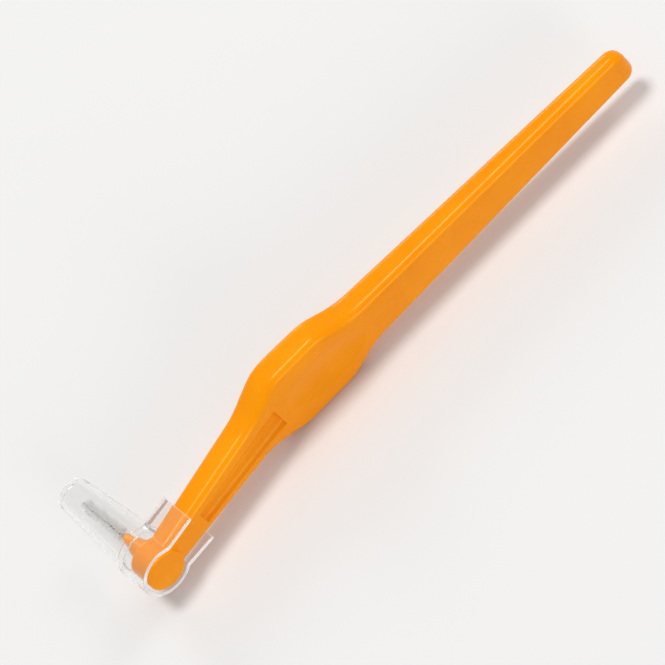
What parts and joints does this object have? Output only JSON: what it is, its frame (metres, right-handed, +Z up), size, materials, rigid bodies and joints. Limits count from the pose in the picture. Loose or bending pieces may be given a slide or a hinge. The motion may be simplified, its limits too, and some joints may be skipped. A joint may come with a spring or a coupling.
{
  "type": "interdental brush",
  "caption": "Angled interdental brush: a slim moulded handle with an oval thumb pad, a twisted wire of bristles set square to its head, and a clear push-on travel cap.",
  "frame": {"origin": "The centre of the button's flat back face, on the brush axis.", "axes": "+X runs along the handle from the head to the tail, +Y along the brush axis from the button to the closed end of the cap, and +Z up, across the handle, square to its mirror plane."},
  "size_m": [0.106, 0.0312, 0.0138],
  "materials": {
    "orange_plastic": "satin moulded polypropylene, orange",
    "wire_steel": "drawn stainless wire, twisted",
    "bristle_nylon": "white nylon filaments",
    "clear_plastic": "clear, slightly milky polypropylene"
  },
  "bodies": {
    "brush": {"handle": "orange_plastic", "core_wire": "wire_steel", "filaments": "bristle_nylon"},
    "cap": {"cap": "clear_plastic"}
  },
  "joints": [
    {"name": "cap_pull", "type": "slide", "parent": "brush", "child": "cap", "axis": [0, 1, 0], "range_m": [0, 0.03]}
  ]
}
